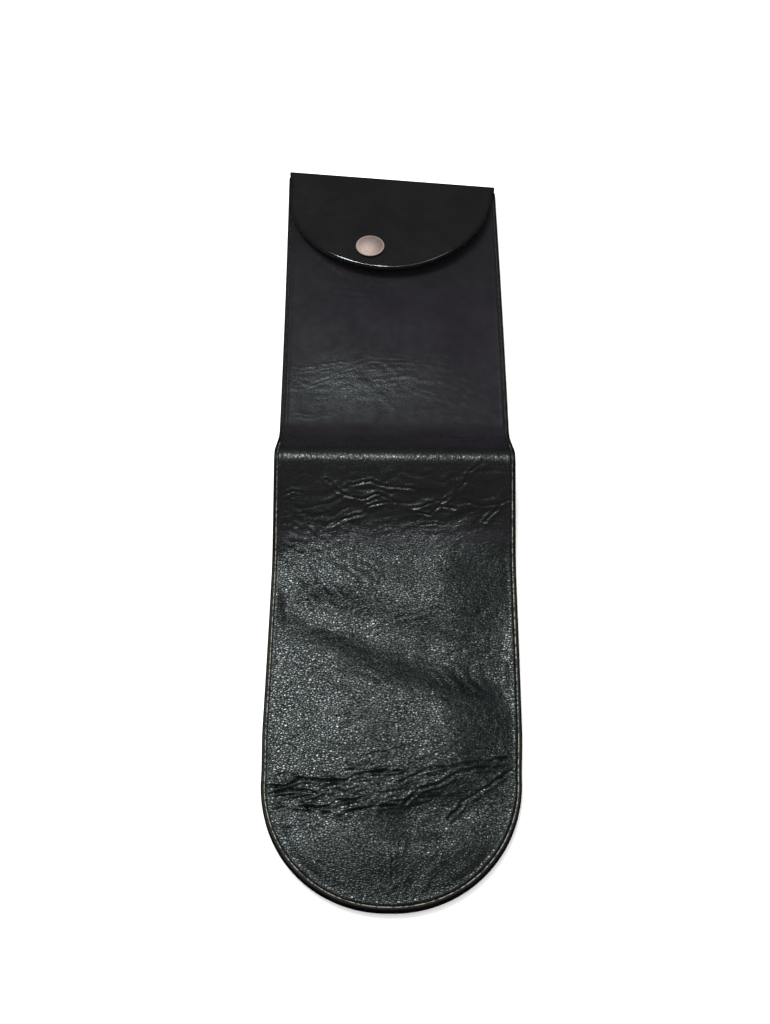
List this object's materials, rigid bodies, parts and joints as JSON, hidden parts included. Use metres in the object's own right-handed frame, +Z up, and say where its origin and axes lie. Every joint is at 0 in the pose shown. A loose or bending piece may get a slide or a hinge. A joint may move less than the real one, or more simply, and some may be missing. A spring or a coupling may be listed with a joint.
{
  "type": "snap-flap carrying case",
  "caption": "Long flat leathercloth sleeve with a round end, a snap-shut flap and a crease across the middle that folds it in half.",
  "frame": {"origin": "middle of the footprint's bounding box, on the underside of the case as it lies", "axes": "+X to the right seen from the round end, +Y along the case towards the flap's fold, +Z up out of the front"},
  "size_m": [0.094, 0.3406, 0.0252],
  "materials": {
    "leathercloth": "satin, pebbled grain",
    "rim": "glossy pressed edge",
    "lining": "matt, fine weave",
    "nickel_cap": "satin nickel plate",
    "nickel_parts": "nickel plate",
    "spring_steel": "drawn wire"
  },
  "bodies": {
    "upper_half": {"upper_back_panel": "leathercloth", "upper_back_lining": "lining", "upper_front_lining": "lining", "upper_front_panel": "leathercloth", "upper_left_rim": "rim", "upper_right_rim": "rim", "flap_fold_panel": "leathercloth", "flap_fold_lining": "lining", "snap_stud": "nickel_parts", "snap_eyelet": "nickel_parts"},
    "flap": {"flap_panel": "leathercloth", "flap_lining": "lining", "flap_rim": "rim", "snap_cap": "nickel_cap", "snap_socket": "nickel_parts", "snap_socket_spring": "spring_steel"},
    "upper_slope": {"upper_slope_back_panel": "leathercloth", "upper_slope_back_lining": "lining", "upper_slope_front_lining": "lining", "upper_slope_front_panel": "leathercloth", "upper_slope_left_rim": "rim", "upper_slope_right_rim": "rim"},
    "lower_slope": {"lower_slope_back_panel": "leathercloth", "lower_slope_back_lining": "lining", "lower_slope_front_lining": "lining", "lower_slope_front_panel": "leathercloth", "lower_slope_left_rim": "rim", "lower_slope_right_rim": "rim"},
    "lower_half": {"lower_back_panel": "leathercloth", "lower_back_lining": "lining", "lower_front_lining": "lining", "lower_front_panel": "leathercloth", "lower_left_rim": "rim", "lower_right_rim": "rim", "lower_end_rim": "rim"}
  },
  "joints": [
    {"name": "flap_hinge", "type": "hinge", "parent": "upper_half", "child": "flap", "pos_m": [0, 0.16308, 0.003], "axis": [-0.9958, 0.0912, 0], "range_deg": [0, 172], "deforming": ["flap_fold_panel", "flap_fold_lining"]},
    {"name": "mid_fold", "type": "hinge", "parent": "upper_slope", "child": "lower_slope", "pos_m": [0, 0.00261, 0.01968], "axis": [1, 0, 0], "range_deg": [0, 106.82]},
    {"name": "upper_foot_fold", "type": "hinge", "parent": "upper_half", "child": "upper_slope", "pos_m": [0, 0.02388, 0], "axis": [1, 0, 0], "range_deg": [0, 43.77]},
    {"name": "lower_foot_fold", "type": "hinge", "parent": "lower_slope", "child": "lower_half", "pos_m": [0, -0.03332, 0], "axis": [1, 0, 0], "range_deg": [0, 29.43]}
  ],
  "couplings": [
    {"joint": "upper_foot_fold", "follows": "mid_fold", "ratio": 0.40962},
    {"joint": "lower_foot_fold", "follows": "mid_fold", "ratio": 0.27539}
  ]
}
